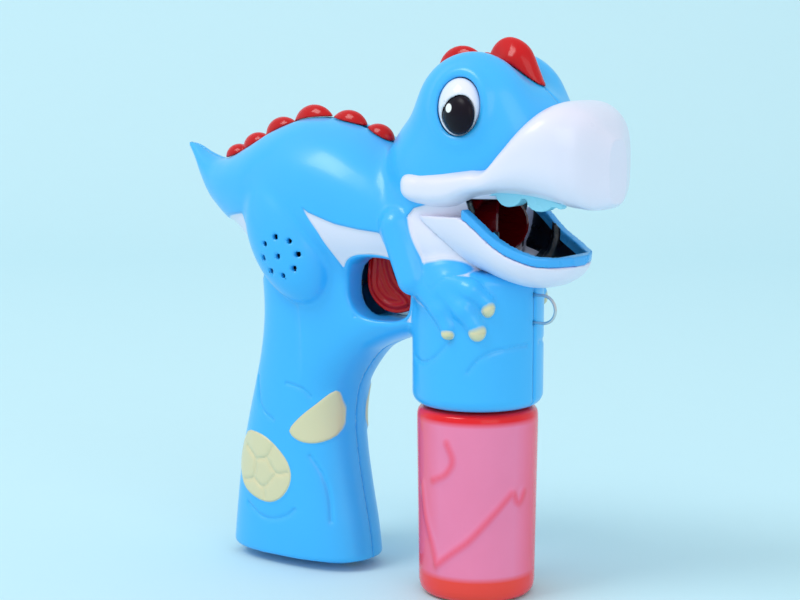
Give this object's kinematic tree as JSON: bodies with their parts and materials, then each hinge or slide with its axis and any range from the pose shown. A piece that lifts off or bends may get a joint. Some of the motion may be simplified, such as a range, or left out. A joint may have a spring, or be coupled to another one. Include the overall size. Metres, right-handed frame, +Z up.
{
  "type": "bubble machine",
  "caption": "Hand-held dinosaur-shaped bubble machine with a bottle under its chest, a battery grip and a trigger that wipes the bubble ring in its mouth.",
  "frame": {"origin": "centre of the bottle's base, where the toy stands", "axes": "+X towards the mouth, +Y the toy's left side, +Z up along the bottle's axis"},
  "size_m": [0.1851, 0.0594, 0.1954],
  "materials": {
    "blue": "glossy",
    "white": "glossy",
    "red_clear": "clear",
    "bottle_pink": "clear",
    "black": "glossy",
    "steel": "satin",
    "brass": "satin",
    "cell_green": "satin",
    "board": "satin",
    "nylon": "satin",
    "hose_clear": "satin",
    "rubber": "matte",
    "led": "clear",
    "grey": "satin"
  },
  "bodies": {
    "case": {"body_shell_right": "blue", "body_shell_left": "blue", "muzzle_cover": "white", "jaw_cover": "white", "mouth_tray": "blue", "upper_teeth": "white", "back_crest": "red_clear", "head_crest": "red_clear", "right_eye": "white", "left_eye": "white", "right_pupil": "black", "left_pupil": "black", "trigger_pin": "steel", "trigger_spring": "steel", "trigger_switch": "black", "bubble_ring": "red_clear", "air_duct": "grey", "motor": "steel", "gear_plate": "steel", "gear_pin": "steel", "pump_housing": "grey", "pump_hose": "hose_clear", "bottle_socket": "blue", "dip_tube": "hose_clear", "battery_cell_1": "cell_green", "battery_cell_2": "cell_green", "battery_cell_3": "cell_green", "battery_contact_upper": "steel", "circuit_board": "board", "back_light": "led", "head_light": "led", "speaker": "black", "cord_loop": "steel", "case_screw_1": "steel", "case_screw_2": "steel", "case_screw_3": "steel", "case_screw_4": "steel", "case_screw_5": "steel", "case_screw_6": "steel"},
    "trigger": {"trigger": "red_clear"},
    "push_rod": {"push_rod": "nylon"},
    "wiper": {"wiper": "red_clear"},
    "motor_rotor": {"motor_shaft": "steel", "motor_pinion": "brass", "fan": "nylon"},
    "middle_gear": {"compound_gear": "nylon"},
    "pump_rotor": {"pump_rotor": "grey", "pump_gear": "nylon"},
    "pump_roller_1": {"pump_roller_1": "nylon"},
    "pump_roller_2": {"pump_roller_2": "nylon"},
    "pump_roller_3": {"pump_roller_3": "nylon"},
    "battery_door": {"battery_door": "blue", "battery_door_screw": "brass", "battery_contact_lower": "steel"},
    "bottle_seat": {"bottle_gasket": "rubber"},
    "bottle": {"bottle": "bottle_pink"}
  },
  "joints": [
    {"name": "trigger_pull", "type": "hinge", "parent": "case", "child": "trigger", "pos_m": [-0.037, 0, 0.1234], "axis": [0, 1, 0], "range_deg": [0, 16], "stiffness_Nm_per_rad": 0.06, "springref_deg": -20.05},
    {"name": "rod_slide", "type": "slide", "parent": "case", "child": "push_rod", "axis": [1, 0, 0], "range_m": [0, 0.0039]},
    {"name": "wiper_swing", "type": "hinge", "parent": "case", "child": "wiper", "pos_m": [-0.002, 0, 0.131], "axis": [0, 1, 0], "range_deg": [0, 74]},
    {"name": "motor_spin", "type": "hinge", "parent": "case", "child": "motor_rotor", "pos_m": [-0.057, 0, 0.1415], "axis": [1, 0, 0], "continuous": true},
    {"name": "middle_gear_spin", "type": "hinge", "parent": "case", "child": "middle_gear", "pos_m": [-0.062, 0, 0.1289], "axis": [1, 0, 0], "continuous": true},
    {"name": "pump_spin", "type": "hinge", "parent": "case", "child": "pump_rotor", "pos_m": [-0.0716, 0, 0.1157], "axis": [1, 0, 0], "continuous": true},
    {"name": "pump_roller_1_spin", "type": "hinge", "parent": "pump_rotor", "child": "pump_roller_1", "pos_m": [-0.0716, 0, 0.12255], "axis": [1, 0, 0], "continuous": true},
    {"name": "pump_roller_2_spin", "type": "hinge", "parent": "pump_rotor", "child": "pump_roller_2", "pos_m": [-0.0716, -0.00593, 0.11227], "axis": [1, 0, 0], "continuous": true},
    {"name": "pump_roller_3_spin", "type": "hinge", "parent": "pump_rotor", "child": "pump_roller_3", "pos_m": [-0.0716, 0.00593, 0.11227], "axis": [1, 0, 0], "continuous": true},
    {"name": "door_swing", "type": "hinge", "parent": "case", "child": "battery_door", "pos_m": [-0.1025, 0, 0.0042], "axis": [0, 1, 0], "range_deg": [0, 92]},
    {"name": "bottle_drop", "type": "slide", "parent": "case", "child": "bottle_seat", "axis": [0, 0, -1], "range_m": [0, 0.085]},
    {"name": "bottle_twist", "type": "hinge", "parent": "bottle_seat", "child": "bottle", "pos_m": [0, 0, 0.05], "axis": [0, 0, 1], "continuous": true}
  ],
  "couplings": [
    {"joint": "rod_slide", "follows": "trigger_pull", "m_per_rad": 0.0135},
    {"joint": "wiper_swing", "follows": "trigger_pull", "ratio": 4.5},
    {"joint": "middle_gear_spin", "follows": "motor_spin", "ratio": -0.3125},
    {"joint": "pump_spin", "follows": "motor_spin", "ratio": 0.091912},
    {"joint": "pump_roller_1_spin", "follows": "motor_spin", "ratio": -0.37809},
    {"joint": "pump_roller_2_spin", "follows": "motor_spin", "ratio": -0.37809},
    {"joint": "pump_roller_3_spin", "follows": "motor_spin", "ratio": -0.37809}
  ]
}
